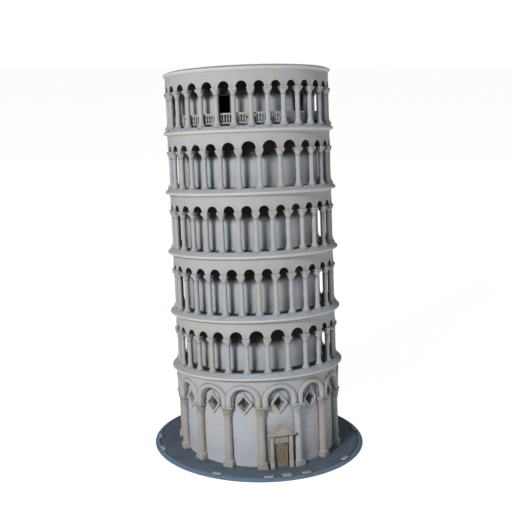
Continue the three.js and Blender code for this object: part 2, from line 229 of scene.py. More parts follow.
def make_material(name, base, warm, cool, wash_and_painted_light, roughness=0.72, grain=0.25, fleck=0.0):
    """Hand-painted cast resin: uneven paint, a darker brown wash that also lays painted shade in the recesses
    and a paler painted light under the slab lips, painted shade in crevices, a mask of the deepest painted
    shade, and a fine cast grain.
    """
    material = bpy.data.materials.new(name)
    material.use_nodes = True
    nodes, links = material.node_tree.nodes, material.node_tree.links
    shader = nodes["Principled BSDF"]
    place = nodes.new("ShaderNodeTexCoord")

    def noise(scale, detail, rough=0.55):
        node = nodes.new("ShaderNodeTexNoise")
        node.inputs["Scale"].default_value = scale
        node.inputs["Detail"].default_value = detail
        node.inputs["Roughness"].default_value = rough
        links.new(place.outputs["Object"], node.inputs["Vector"])
        return node

    def ramp(source, low, high, low_value=0.0, high_value=1.0):
        node = nodes.new("ShaderNodeMapRange")
        node.interpolation_type = "SMOOTHSTEP"
        for key, value in (("From Min", low), ("From Max", high),
                           ("To Min", low_value), ("To Max", high_value)):
            node.inputs[key].default_value = value
        links.new(source, node.inputs["Value"])
        return node.outputs["Result"]

    def mix(factor, first, second, mode="MIX"):
        node = nodes.new("ShaderNodeMix")
        node.data_type = "RGBA"
        node.blend_type = mode
        for socket, value in ((node.inputs[0], factor), (node.inputs[6], first), (node.inputs[7], second)):
            if hasattr(value, "links"):
                links.new(value, socket)
            elif isinstance(value, (int, float)):
                socket.default_value = value
            else:
                socket.default_value = (*value, 1)
        return node.outputs[2]

    def multiply(first, second):
        node = nodes.new("ShaderNodeMath")
        node.operation = "MULTIPLY"
        for socket, value in zip(node.inputs, (first, second)):
            if hasattr(value, "links"):
                links.new(value, socket)
            else:
                socket.default_value = value
        return node.outputs[0]

    broad = noise(38, 3)
    patchy = noise(150, 4)
    fine = noise(1400, 3)
    colour = mix(ramp(broad.outputs["Fac"], 0.38, 0.62), base, warm)
    colour = mix(ramp(patchy.outputs["Fac"], 0.48, 0.72, 0, 0.8), colour, cool)
    # Wash colour: a brown wash that is partly painted shade in recesses, and on the slabs a paler painted light
    # under the lip.
    mask = nodes.new("ShaderNodeAttribute")
    mask.attribute_name = "wash_and_painted_light"
    wash_and_light_amount = multiply(mask.outputs["Fac"], ramp(patchy.outputs["Fac"], 0.25, 0.6, 0.75, 1.0))
    colour = mix(wash_and_light_amount, colour, wash_and_painted_light)
    # Deepest painted shade: under the arches, behind the columns, in hollows, reveals and the dark top room.
    painted_shade = nodes.new("ShaderNodeAttribute")
    painted_shade.attribute_name = "painted_shade"
    deep_shading = multiply(painted_shade.outputs["Fac"], ramp(patchy.outputs["Fac"], 0.2, 0.5, 0.85, 1.0))
    colour = mix(deep_shading, colour, DEEP_SHADE)
    # Painted shade in crevices: the colour darkens where ambient occlusion is high.
    crevice = nodes.new("ShaderNodeAmbientOcclusion")
    crevice.samples = 6
    crevice.inputs["Distance"].default_value = 1.6 * MM
    crevice_shade = multiply(ramp(crevice.outputs["AO"], 0.25, 0.75, 0.55, 0.0),
                    ramp(patchy.outputs["Fac"], 0.3, 0.6, 0.6, 1))
    colour = mix(crevice_shade, colour, tuple(0.42 * c for c in wash_and_painted_light))
    if fleck:
        spots = noise(700, 2, 0.7)
        pale = tuple(min(1, 1.5 * c) for c in base)
        colour = mix(ramp(spots.outputs["Fac"], 0.62, 0.72, 0, fleck), colour, pale)
    links.new(colour, shader.inputs["Base Color"])
    links.new(ramp(patchy.outputs["Fac"], 0.3, 0.7, roughness - 0.08, roughness + 0.1),
              shader.inputs["Roughness"])
    shader.inputs["Specular IOR Level"].default_value = 0.35
    bump = nodes.new("ShaderNodeBump")
    bump.inputs["Strength"].default_value = grain
    bump.inputs["Distance"].default_value = 0.12 * MM
    height = nodes.new("ShaderNodeMath")
    height.operation = "ADD"
    links.new(fine.outputs["Fac"], height.inputs[0])
    links.new(patchy.outputs["Fac"], height.inputs[1])
    links.new(height.outputs[0], bump.inputs["Height"])
    links.new(bump.outputs["Normal"], shader.inputs["Normal"])
    return material


MATERIALS = {
    "stone": make_material("arcade_paint", srgb("#a8aaae"), srgb("#a8a7a6"), srgb("#9fa4ab"), UMBER),
    "wall": make_material("drum_paint", srgb("#acb2ba"), srgb("#afb1b4"), srgb("#a3abb4"), UMBER),
    "ground": make_material("ground_paint", srgb("#a3a09d"), srgb("#9e9993"), srgb("#a6a6a7"), BROWN),
    # The slab's last colour is a pale beige laid under the lip: partly the lip's own beige, partly painted
    # light for light bounced up from below.
    "slab": make_material("slab_paint", srgb("#a4adb8"), srgb("#a2a7ac"), srgb("#929faa"), srgb("#c3c0ba")),
    "slate": make_material("slate_paint", srgb("#566574"), srgb("#57636d"), srgb("#495562"), srgb("#6a8198"),
                           roughness=0.6, grain=0.3),
    "kerb": make_material("kerb_paint", srgb("#a2a4a4"), srgb("#9b9b98"), srgb("#8f9498"), BROWN),
    "door": make_material("door_paint", srgb("#948878"), srgb("#897c6d"), srgb("#9c9284"), srgb("#6a5b4b")),
    "felt": make_material("felt_nap", srgb("#2a2e33"), srgb("#24282c"), srgb("#33383d"), srgb("#1c1f22"),
                          roughness=0.95, grain=1.0, fleck=0.4),
}


# ------------------------------------------------------------------ pieces
def add_piece(name, shell, slot, nodes, leaning=True, wash_and_painted_light=None, painted_shade=None, smooth=35, floor_cut=None):
    """A finished piece in place of its CAD nodes.

    One mask gives how much of the material's wash colour a point takes at a (radius, height) up the tower: a
    darker brown wash that is partly painted shade in recesses, and on the slabs a paler painted light under the
    lip. The other gives how much of the deepest painted shade it takes. floor_cut is the level below which the
    piece is cut off.
    """
    points, faces = shell
    points = np.asarray(points, float)
    mesh = bpy.data.meshes.new(name)
    lean = np.array(LEAN) if leaning else np.eye(3)
    start = np.array(FOOT) if leaning else np.zeros(3)
    mesh.from_pydata((points @ lean.T + start) * MM, [], faces)
    bm = bmesh.new()
    bm.from_mesh(mesh)
    if floor_cut is not None:
        level = floor_cut * MM
        cut = bmesh.ops.bisect_plane(bm, geom=bm.verts[:] + bm.edges[:] + bm.faces[:], plane_co=(0, 0, level),
                                     plane_no=(0, 0, -1), clear_outer=True)
        rim = [e for e in cut["geom_cut"] if isinstance(e, bmesh.types.BMEdge)]
        bmesh.ops.holes_fill(bm, edges=rim, sides=0)
    bmesh.ops.recalc_face_normals(bm, faces=bm.faces)
    bm.to_mesh(mesh)
    bm.free()
    mesh.shade_smooth()
    mesh.set_sharp_from_angle(angle=math.radians(smooth))
    world = np.empty(len(mesh.vertices) * 3)
    mesh.vertices.foreach_get("co", world)
    local = (world.reshape(-1, 3) / MM - start) @ lean
    for label, paint in (("wash_and_painted_light", wash_and_painted_light), ("painted_shade", painted_shade)):
        attribute = mesh.attributes.new(label, "FLOAT", "POINT")
        if paint is not None:
            values = [paint(math.hypot(x, y), z) for x, y, z in local]
            attribute.data.foreach_set("value", np.array(values, np.float32))
    mesh.materials.append(MATERIALS[slot])
    piece = bpy.data.objects.new(name, mesh)
    bpy.context.scene.collection.objects.link(piece)
    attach(piece, "root")
    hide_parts(*nodes)
    return piece


def smoothstep(value, low, high):
    t = min(1.0, max(0.0, (value - low) / (high - low)))
    return t * t * (3 - 2 * t)


# ------------------------------------------------------------------ base
def make_base():
    low, high = corners("base_dish")
    radius = (high.x - low.x) / 2
    groove_out = GROOVE_RADIUS + GROOVE_WIDTH / 2
    groove_in = GROOVE_RADIUS - GROOVE_WIDTH / 2
    profile = soften([
        (0, BASE_FLOOR), (58, BASE_FLOOR), (groove_in, BASE_RIM), (groove_in + 0.15, BASE_RIM - GROOVE_DEPTH),
        (groove_out - 0.15, BASE_RIM - GROOVE_DEPTH), (groove_out, BASE_RIM), (radius, BASE_EDGE),
        (radius - 0.8, BASE_UNDER), (66.3, BASE_UNDER), (66.3, BASE_UNDER + 0.4), (0, BASE_UNDER + 0.4),
    ], 0.45, 4)
    dish = revolve(profile, 240)
    paint = lambda r, z: smoothstep(r, GROOVE_RADIUS - 1.2, GROOVE_RADIUS + 1.0) * 0.85
    # Painted shade in the groove round the rim.
    groove_shade = lambda r, z: (
        0.7 * (1 - smoothstep(abs(r - GROOVE_RADIUS), 0.25, 0.45)) if z > BASE_UNDER + 0.5 else 0)
    add_piece("slate_base", dish, "slate", ["base_dish"], leaning=False, wash_and_painted_light=paint, painted_shade=groove_shade)
    pad_low, pad_high = corners("base_pad")
    pad_radius = (pad_high.x - pad_low.x) / 2
    pad = revolve(soften([(0, pad_high.z), (pad_radius, pad_high.z), (pad_radius, 0), (0, 0)], 0.2, 2), 160)
    add_piece("felt_pad", pad, "felt", ["base_pad"], leaning=False)
    for i in range(KERB_BLOCKS):
        make_kerb_block(i + 1)


def make_kerb_block(number):
    """A small uneven block, set square to its radius."""
    node = f"kerb_block_{number}"
    centre = middle(node)
    angle = math.degrees(math.atan2(centre.x, -centre.y))
    distance = math.hypot(centre.x, centre.y)
    low, high = corners(node)
    depth = 4.4 if number == DEEP_KERB else 2.6
    block = chamfered((-3.1, -depth / 2, low.z - 0.15), (3.1, depth / 2, high.z), 0.28, 3)
    points = np.array(block[0])
    rng = np.random.default_rng(number)
    skew = rng.uniform(-0.25, 0.25, 4)
    points[:, 2] += np.where(points[:, 2] > high.z - 0.5, 0.25 * skew[0] * points[:, 0] / 3 - 0.1, 0)
    points[:, 0] *= 1 + 0.08 * skew[1] + 0.05 * points[:, 1] / depth
    points[:, 1] += 0.15 * np.sin(points[:, 0] * 1.3 + skew[2] * 9)
    block = shift((points, block[1]), y=-distance)
    # Each block is painted darker at its foot, as painted shade where it meets the dish.
    add_piece(f"kerb_stone_{number}", turn(block, angle), "kerb", [node], leaning=False,
              wash_and_painted_light=lambda r, z: 0.5 * (1 - smoothstep(z, low.z, low.z + 0.5)))


# ------------------------------------------------------------------ arches
def arch_bay(left, right, half_width, spring, top, stilt, inner, outer, rings, spread=0.0, steps=20):
    """One bay of an arcade band between the angles left and right, with a round-headed opening.

    stilt is how far the opening's straight sides run down below the spring. rings are (distance from
    the opening's edge, radius) pairs across the archivolt; spread widens it towards its feet.
    """
    centre = (left + right) / 2
    half = math.radians(right - left) / 2 * outer
    height = top - spring
    side_steps = max(3, steps // 4)
    stations = []
    for z in ((-stilt, -stilt / 2) if stilt else ()):
        stations.append((half_width, z, 1.0, 0.0, half, z))
    spots = [(half, height * i / side_steps) for i in range(side_steps)]
    spots += [(half - 2 * half * i / steps, height) for i in range(steps + 1)]
    spots += [(-half, height * i / side_steps) for i in range(side_steps - 1, -1, -1)]
    for x, z in spots:
        angle = math.atan2(z, x)
        c, s = math.cos(angle), math.sin(angle)
        stations.append((half_width * c, half_width * s, c, s, x, z))
    for z in ((-stilt / 2, -stilt) if stilt else ()):
        stations.append((-half_width, z, -1.0, 0.0, -half, z))

    def place(x, z, radius):
        angle = math.radians(centre) + x / outer
        return radius * math.sin(angle), -radius * math.cos(angle), spring + z

    layers = [[(x, z, outer) for *_, x, z in stations]]
    for distance, radius in reversed(rings):
        layer = []
        for x0, z0, c, s, x1, _ in stations:
            reach = distance * (1 + spread * abs(c) ** 2)
            layer.append((max(-half, min(half, x0 + reach * c)), z0 + reach * s, radius))
        layers.append(layer)
    for radius in (outer - 0.55, inner + 0.6, inner):
        layers.append([(x0, z0, radius) for x0, z0, *_ in stations])
    layers.append([(x, z, inner) for *_, x, z in stations])
    points = [place(*point) for layer in layers for point in layer]
    count = len(stations)
    faces = []
    for low in range(len(layers) - 1):
        for i in range(count - 1):
            a, b = low * count + i, (low + 1) * count + i
            faces.append((a, a + 1, b + 1, b))
    last = (len(layers) - 1) * count
    start = side_steps + (2 if stilt else 0)
    for i in range(start, start + steps):
        faces.append((i, i + 1, last + i + 1, last + i))
    for side in (0, count - 1):
        faces.append(tuple(layer * count + side for layer in range(len(layers))))
    return np.array(points), faces


def weld(shell, distance=1e-3):
    bm = bmesh.new()
    verts = [bm.verts.new(p) for p in shell[0]]
    for face in shell[1]:
        bm.faces.new([verts[i] for i in face])
    bmesh.ops.remove_doubles(bm, verts=bm.verts, dist=distance)
    return from_bmesh(bm)


def string_course(radius, bottom, top, proud):
    """A thin moulding ring that stands proud of a round wall."""
    middle_height = (bottom + top) / 2
    return revolve([(radius - 0.3, bottom), (radius + proud * 0.7, bottom), (radius + proud, middle_height),
                    (radius + proud * 0.7, top), (radius - 0.3, top)], ROUND, closed=True)


# ------------------------------------------------------------------ galleries
def bay_edges(first_bay, swell, reach):
    """(left, right) angles of the thirty bays of a gallery, swollen round bay 0."""
    weights = []
    for i in range(BAYS):
        away = min(i, BAYS - i) * 360 / BAYS / reach
        weights.append(1 + swell * math.exp(-away * away))
    widths = [w * 360 / sum(weights) for w in weights]
    edge, bays = first_bay - widths[0] / 2, []
    for width in widths:
        bays.append((edge, edge + width))
        edge += width
    return bays


def gallery_column(floor, neck):
    """A slim shaft on a flared trumpet foot, with a neck ring and a bell capital."""
    profile = [
        (0, floor - 0.8), (3.0, floor - 0.8), (3.0, floor + 0.4), (2.5, floor + 1.0), (2.0, floor + 1.9),
        (1.7, floor + 3.0), (1.52, floor + 4.4), (SHAFT, floor + 7), (SHAFT, neck - 4.0),
        (SHAFT - 0.05, neck - 3.4), (1.75, neck - 3.2), (1.8, neck - 2.95), (1.55, neck - 2.75),
        (1.6, neck - 2.2), (1.85, neck - 1.4), (2.3, neck - 0.6), (2.6, neck - 0.15), (2.6, neck), (0, neck),
    ]
    return revolve(profile, 20)


def make_arcade(level, bays, rim_above, floor):
    top = rim_above - SLAB_LIP - SLAB_COVE
    spring = rim_above - SPRING
    neck = rim_above - CAPITAL_BOTTOM + 0.2
    stilt = 0.5
    rings = [(0.0, BAND_OUTER), (0.15, BAND_OUTER + 0.12), (0.5, BAND_OUTER + 0.2), (1.0, BAND_OUTER + 0.18),
             (1.2, BAND_OUTER + 0.02), (1.35, BAND_OUTER)]
    arcs = []
    for left, right in bays:
        half_width = (math.radians(right - left) * BAND_OUTER - LEG_WIDTH) / 2
        arcs.append(arch_bay(left, right, half_width, spring, top, stilt, BAND_INNER, BAND_OUTER, rings))
    shells = [weld(merge(*arcs)), string_course(BAND_OUTER, top - 1.5, top - 0.02, 0.16)]
    abacus = merge(
        chamfered((-2.65, -BAND_OUTER - 1.3, spring - 1.6),
                  (2.65, -BAND_INNER + 0.9, spring - stilt + 0.05), 0.35),
        chamfered((-2.35, -BAND_OUTER - 0.9, neck - 0.1), (2.35, -BAND_INNER + 0.5, spring - 1.5), 0.3),
    )
    column = merge(shift(gallery_column(floor, neck), y=-COLUMN_RADIUS), abacus)
    shells += [turn(column, left) for left, _ in bays]
    # Painted shade at the column feet on the floor and round the necking ring, in the wash colour.
    wash_and_painted_light = lambda r, z: max(
        0.25 * (1 - smoothstep(z, floor, floor + 1.5)),
        0.3 * smoothstep(z, neck - 3.6, neck - 3.0) * (1 - smoothstep(z, neck - 2.9, neck - 1.8)))
    # Deepest painted shade on the arch soffits above the spring and on the rear half of each column.
    painted_shade = lambda r, z: max(
        (1 - smoothstep(r, BAND_OUTER - 0.6, BAND_OUTER - 0.05)) * smoothstep(z, spring - 1.0, spring),
        0.95 * (1 - smoothstep(r, COLUMN_RADIUS - 1.3, COLUMN_RADIUS)))
    add_piece(f"arcade_{level}", merge(*shells), "stone", [f"gallery_arcade_{level}"], wash_and_painted_light=wash_and_painted_light, painted_shade=painted_shade)


def make_gallery_drum(level, floor, top):
    # The wall is painted darker brown towards its top under the arches, partly a real brown wash and partly
    # painted shade, with painted shade along its foot and the deepest painted shade at the very top.
    wash_and_painted_light = lambda r, z: max(smoothstep(z, top - 18.5, top - 14), 0.35 * (1 - smoothstep(z, floor, floor + 2.5)))
    painted_shade = lambda r, z: smoothstep(z, top - 15.5, top - 11.3)
    outline = soften([
        (DRUM_RADIUS + 0.7, floor), (DRUM_RADIUS + 0.7, floor + 0.7), (DRUM_RADIUS, floor + 1.2),
        (DRUM_RADIUS, top - 1.2), (DRUM_RADIUS + 0.5, top - 0.7), (DRUM_RADIUS + 0.5, top)], 0.2, 2)
    rows = [(DRUM_RADIUS, floor + 1.2 + i * (top - floor - 2.4) / 24) for i in range(1, 24)]
    half = len(outline) // 2
    outline = outline[:half] + rows + outline[half:]
    if level < STOREYS:
        drum = revolve([(0, floor)] + outline + [(0, top)], ROUND)
        add_piece(f"drum_{level}", drum, "wall", [f"gallery_drum_{level}"], wash_and_painted_light=wash_and_painted_light, painted_shade=painted_shade)
        return
    bore = DRUM_RADIUS - ROOM_WALL
    room = revolve([(bore, floor)] + outline + [(bore, top)], ROUND, closed=True)
    doorway = chamfered((-DOOR_WIDTH / 2, -50, floor - 2), (DOOR_WIDTH / 2, -38, floor + DOOR_HEIGHT), 0.05)
    cutters = [turn(doorway, angle) for angle in TOP_DOORS]
    # The room inside the bore is painted in the deepest shade.
    inside = lambda r, z: 1 if r < bore + 0.5 else painted_shade(r, z)
    piece = add_piece("drum_5", room, "wall", ["gallery_drum_5"], wash_and_painted_light=wash_and_painted_light, painted_shade=inside)
    cut_away(piece, cutters)
    frames = [turn(door_frame(floor), angle) for angle in TOP_DOORS]
    add_piece("top_door_frames", merge(*frames), "wall", ["gallery_drum_5"], wash_and_painted_light=wash_and_painted_light, painted_shade=painted_shade)


def door_frame(floor):
    half, thick = DOOR_WIDTH / 2, 0.8
    out, rear, head = DRUM_RADIUS + 0.5, -DRUM_RADIUS + 1.2, floor + DOOR_HEIGHT
    return merge(
        chamfered((-half - thick, -out, floor + 0.1), (-half + 0.05, rear, head + thick), 0.18),
        chamfered((half - 0.05, -out, floor + 0.1), (half + thick, rear, head + thick), 0.18),
        chamfered((-half - thick, -out - 0.15, head), (half + thick, rear, head + 1.0), 0.18),
    )


def cut_away(piece, cutters):
    """Cuts closed shells, given in the tower's frame, out of a piece."""
    points, faces = merge(*cutters)
    mesh = bpy.data.meshes.new("cutter")
    mesh.from_pydata((np.asarray(points) @ np.array(LEAN).T + np.array(FOOT)) * MM, [], faces)
    bm = bmesh.new()
    bm.from_mesh(mesh)
    bmesh.ops.recalc_face_normals(bm, faces=bm.faces)
    bm.to_mesh(mesh)
    bm.free()
    cutter = bpy.data.objects.new("cutter", mesh)
    bpy.context.scene.collection.objects.link(cutter)
    modifier = piece.modifiers.new("cut", "BOOLEAN")
    modifier.operation = "DIFFERENCE"
    modifier.solver = "EXACT"
    modifier.object = cutter
    graph = bpy.context.evaluated_depsgraph_get()
    result = bpy.data.meshes.new_from_object(piece.evaluated_get(graph))
    piece.modifiers.remove(modifier)
    piece.data = result
    bpy.data.objects.remove(cutter)
    result.set_sharp_from_angle(angle=math.radians(35))


def shade_hollows(piece, shallow, deep):
    """Paints shade into whatever was cut into a round wall, darker from shallow to deep millimetres below its
    surface.
    """
    for vertex, mask in zip(piece.data.vertices, piece.data.attributes["painted_shade"].data):
        local = LEAN.transposed() @ (vertex.co / MM - FOOT)
        depth = WALL_RADIUS - math.hypot(local.x, local.y)
        if depth < 6:
            mask.value = 0.85 * smoothstep(depth, shallow, deep)


def make_balustrade(bays, floor):
    """Two rails, a post behind each column and five turned balusters in each bay."""
    inner, outer = BALUSTRADE_INNER, BALUSTRADE_OUTER
    middle_radius = (inner + outer) / 2
    rail = lambda bottom, top, spread: revolve(soften([
        (inner - spread, bottom), (outer + spread, bottom), (outer + spread, top), (inner - spread, top),
        (inner - spread, bottom)], 0.2, 2)[:-1], ROUND, closed=True)
    shells = [rail(floor + 7.2, floor + 8.3, 0.1), rail(floor + 1.2, floor + 2.2, 0)]
    low, high = floor + 2.1, floor + 7.3
    baluster = revolve([
        (0, low), (0.5, low), (0.5, low + 0.4), (0.34, low + 0.7), (0.36, low + 1.1), (0.56, low + 1.9),
        (0.5, low + 2.5), (0.33, low + 3.4), (0.31, low + 4.1), (0.5, high - 0.5), (0.5, high), (0, high)], 10)
    for left, right in bays:
        post = chamfered((-0.8, -outer - 0.05, floor + 0.02), (0.8, -inner + 0.05, floor + 8.25), 0.18)
        shells.append(turn(post, left))
        for i in range(1, BALUSTERS + 1):
            angle = left + (right - left) * i / (BALUSTERS + 1)
            shells.append(turn(shift(baluster, y=-middle_radius), angle))
    # The balustrade is painted darker towards the floor, as painted shade at the bottom rail and baluster feet.
    add_piece("balustrade_ring", merge(*shells), "stone", ["balustrade"],
              wash_and_painted_light=lambda r, z: 0.3 * (1 - smoothstep(z, floor + 1, floor + 3)))


# ------------------------------------------------------------------ slabs
def slab_outline(height, radius, top):
    """From the axis at the top, round the rounded edge and under its soffit, back to the axis underneath."""
    lip, bottom = height - SLAB_LIP, height - SLAB_LIP - SLAB_COVE
    shoulder = radius - SLAB_SLOPE
    return [(0, top), (shoulder - 0.5, top), (shoulder + 0.3, top - 0.2), (radius - 0.2, height),
            (radius, height - 0.3), (radius, lip + 0.5), (radius - 0.35, lip), (SLAB_NECK + 0.7, bottom + 0.5),
            (SLAB_NECK + 0.1, bottom), (0, bottom)]


def make_slabs():
    for i, (height, radius) in enumerate(RIMS):
        top = height + (SLAB_RISE if i < STOREYS else CORNICE_RISE)
        outline = slab_outline(height, radius, top)
        # Below the rim the lip and underside take the pale beige colour: partly the lip's own beige, partly
        # painted light.
        wash_and_painted_light = lambda r, z, rim=height: 1 - smoothstep(z, rim - 0.4, rim)
        if i < STOREYS:
            # Deepest painted shade on the gallery floor behind the columns.
            gallery_floor_shade = lambda r, z, top=top: (
                0.95 * (1 - smoothstep(r, 54.5, 55.6)) * smoothstep(z, top - 0.4, top - 0.1))
            rows = [(r, top) for r in (48, 52, 54, 54.6, 55, 55.4, 55.8)]
            outline = outline[:1] + rows + outline[1:]
            slab = revolve(soften(outline, 0.18, 2), 240)
            add_piece(f"floor_{i + 1}", slab, "slab", [f"floor_slab_{i + 1}"], wash_and_painted_light=wash_and_painted_light, painted_shade=gallery_floor_shade)
        else:
            outline = [(0, top - 1), (50.3, top - 1), (50.3, top)] + outline[1:]
            add_piece("cornice", revolve(soften(outline, 0.18, 2), 240), "slab", ["top_cornice"], wash_and_painted_light=wash_and_painted_light)
            make_roof(top)


def make_roof(top):
    """A paved deck: rings of flat stones parted by fine joints."""
    bottom, surface = top - 0.9, top + 0.5
    radii, heights = [0.0], [surface]
    for ring in range(1, ROOF_RINGS + 1):
        joint = ring * ROOF_RADIUS / ROOF_RINGS
        for offset, drop in ((-0.5, 0.0), (-0.2, 0.28), (0.2, 0.28), (0.5, 0.0)):
            if joint + offset < ROOF_RADIUS:
                radii.append(joint + offset)
                heights.append(surface - (drop if ring < ROOF_RINGS else 0))
    edge = [(ROOF_RADIUS, surface - 0.3), (ROOF_RADIUS, bottom), (0, bottom)]
    paving = revolve(soften(list(zip(radii, heights)) + edge, 0.08, 2), 160)
    deck = add_piece("roof_paving", paving, "wall", ["roof_deck"],
                     wash_and_painted_light=lambda r, z: 0.8 * (1 - smoothstep(z, surface - 0.25, surface - 0.02)))
    cutters = []
    for ring in range(1, ROOF_RINGS):
        inner = ring * ROOF_RADIUS / ROOF_RINGS + 0.3
        outer = (ring + 1) * ROOF_RADIUS / ROOF_RINGS - 0.3
        stones = 6 * ring + 6
        for i in range(stones):
            gap = chamfered((-0.14, -outer, surface - 0.28), (0.14, -inner, surface + 1), 0.02, 1)
            cutters.append(turn(gap, (i + 0.5 * (ring % 2)) * 360 / stones))
    cut_away(deck, cutters)


# ------------------------------------------------------------------ ground storey
PORTAL_EDGE = PORTAL_ANGLE + PORTAL_BAY / 2
PLAIN_BAY = (360 - PORTAL_BAY) / (GROUND_BAYS - 1)
COLUMN_ANGLES = [PORTAL_EDGE + i * PLAIN_BAY for i in range(GROUND_BAYS)]
GROUND_BAY_EDGES = [(angle, angle + PLAIN_BAY) for angle in COLUMN_ANGLES[:-1]]
GROUND_BAY_EDGES.append((COLUMN_ANGLES[-1], COLUMN_ANGLES[-1] + PORTAL_BAY))


def radial(shell):
    """Stands a shell that was turned about +Z so that its axis points out along -Y."""
    points = np.asarray(shell[0], float)
    return np.stack([points[:, 0], -points[:, 2], points[:, 1]], -1), shell[1]


def lozenge_parts(angle):
    """(cutter, frame) of one sunk, stepped lozenge in a thick splayed frame."""
    tall = np.array([1.0, 1.0, 1.2])
    wall = WALL_RADIUS
    steps = [(0, wall - 3.4), (1.6, wall - 3.4), (1.6, wall - 2.6), (2.7, wall - 2.6), (2.7, wall - 1.7),
             (3.7, wall - 1.7), (3.7, wall - 0.8), (4.5, wall - 0.8), (4.5, wall + 3), (0, wall + 3)]
    frame_ring = soften([(4.2, wall - 1.2), (4.3, wall + 0.7), (4.7, wall + 1.1), (5.9, wall + 1.2),
                         (6.4, wall + 0.7), (6.5, wall - 1.2), (4.2, wall - 1.2)], 0.15, 2)[:-1]
    parts = []
    for profile, closed in ((steps, False), (frame_ring, True)):
        points, faces = radial(revolve(profile, 4, closed))
        parts.append(turn(shift((points * tall, faces), z=LOZENGE_HEIGHT), angle))
    return parts


def make_ground_drum():
    top = RIMS[0][0] - SLAB_LIP - SLAB_COVE
    outline = [(WALL_RADIUS, BURIED)]
    course, height = 4.6, -8.0
    while height < top - 3:
        outline += [(WALL_RADIUS, height - 0.15), (WALL_RADIUS - 0.13, height - 0.05),
                    (WALL_RADIUS - 0.13, height + 0.05), (WALL_RADIUS, height + 0.15)]
        height += course
    outline.append((WALL_RADIUS, top))
    drum = revolve([(0, BURIED)] + outline + [(0, top)], ROUND)
    # The wall is painted darker towards its top under the arches: a brown wash that is partly painted shade.
    piece = add_piece("ground_wall", drum, "wall", ["ground_drum"], floor_cut=FLOOR_CUT,
                      wash_and_painted_light=lambda r, z: 0.5 * smoothstep(z, 46, 50))
    cutters, frames = [], []
    for left, right in GROUND_BAY_EDGES:
        cutter, frame_ring = lozenge_parts((left + right) / 2)
        cutters.append(cutter)
        frames.append(frame_ring)
    cut_away(piece, cutters)
    shade_hollows(piece, 0.3, 2.6)
    # The frames are painted darker on their inner part towards the hollow, as painted shade.
    add_piece("lozenge_frames", merge(*frames), "stone", ["ground_drum"], smooth=30,
              wash_and_painted_light=lambda r, z: 0.5 * (1 - smoothstep(r, WALL_RADIUS - 0.4, WALL_RADIUS + 0.5)))


def ground_column():
    """A stout engaged column: shaft, necking ring, leafy bell capital and a thin, wide abacus."""
    neck, abacus, top = 32.6, 36.7, 38.3
    profile = [(0, BURIED), (2.75, BURIED), (2.75, -1), (GROUND_SHAFT + 0.12, 3), (GROUND_SHAFT, 12),
               (GROUND_SHAFT - 0.1, neck - 1.1), (3.0, neck - 0.8), (3.1, neck - 0.4), (2.75, neck - 0.1),
               (2.7, neck + 0.3), (3.2, neck + 1.0), (3.35, neck + 1.6), (3.1, neck + 2.0), (3.35, neck + 2.7),
               (3.7, neck + 3.3), (3.4, neck + 3.7), (3.9, abacus), (0, abacus)]
    shaft = shift(revolve(soften(profile, 0.15, 2), 32), y=-GROUND_COLUMN_RADIUS)
    slab = merge(chamfered((-4.6, -58.3, abacus + 0.3), (4.6, -51, top), 0.3),
                 chamfered((-4.1, -57.8, abacus - 0.3), (4.1, -51, abacus + 0.5), 0.25))
    return merge(shaft, slab)


def plinth(angle):
    """A square block and a round base moulding, at the height where the column meets the level floor."""
    at = math.radians(angle)
    outward = LEAN @ Vector((math.sin(at), -math.cos(at), 0))
    floor = (BASE_FLOOR - FOOT.z - outward.z * 56) / AXIS.z
    moulding = revolve(soften([(0, floor + 2.6), (3.5, floor + 2.6), (3.65, floor + 3.3), (3.3, floor + 3.9),
                               (2.75, floor + 4.5), (0, floor + 4.5)], 0.2, 2), 32)
    block = chamfered((-3.5, -58.2, floor - 2), (3.5, -51, floor + 2.9), 0.35)
    return merge(block, shift(moulding, y=-GROUND_COLUMN_RADIUS - 0.1))


def make_ground_columns():
    shape = ground_column()
    for i, angle in enumerate(COLUMN_ANGLES):
        number = f"{i + 1:02d}"
        column = turn(merge(shape, plinth(angle)), angle)
        slot = "stone" if i == PALE_COLUMN else "ground"
        # Painted shade round the necking under the capital and at the foot, in the wash colour.
        add_piece(f"column_{number}", column, slot, [f"ground_column_{number}"], floor_cut=FLOOR_CUT,
                  wash_and_painted_light=lambda r, z: max(0.25 * smoothstep(z, 31.5, 33) * (1 - smoothstep(z, 36, 37)),
                                        0.3 * (1 - smoothstep(z, -4, 2))))


def make_ground_arcade():
    """Stilted arches in two orders: a thin inner roll and a bold outer one that meets its neighbour in a V."""
    top = RIMS[0][0] - SLAB_LIP - SLAB_COVE
    spring, foot, opening = 42.3, 38.2, 6.9
    inner, outer = 53.6, 56.5
    rings = [(0.0, 55.1), (0.15, 55.55), (0.55, 55.6), (0.75, 55.45), (0.85, 56.5), (1.1, 57.3), (1.6, 57.85),
             (2.3, 58.0), (3.0, 57.75), (3.6, 57.1), (3.75, 56.3), (3.95, outer)]
    arcs = [arch_bay(left, right, opening, spring, top, spring - foot, inner, outer, rings, 0.42, 36)
            for left, right in GROUND_BAY_EDGES]
    shells = [weld(merge(*arcs)), string_course(outer, top - 1.2, top - 0.02, 0.2)]
    # The inner roll and reveal of each arch are painted darker, as painted shade.
    add_piece("ground_arches", merge(*shells), "stone", ["ground_arcade"],
              wash_and_painted_light=lambda r, z: 0.6 * (1 - smoothstep(r, 55.0, 56.0)))


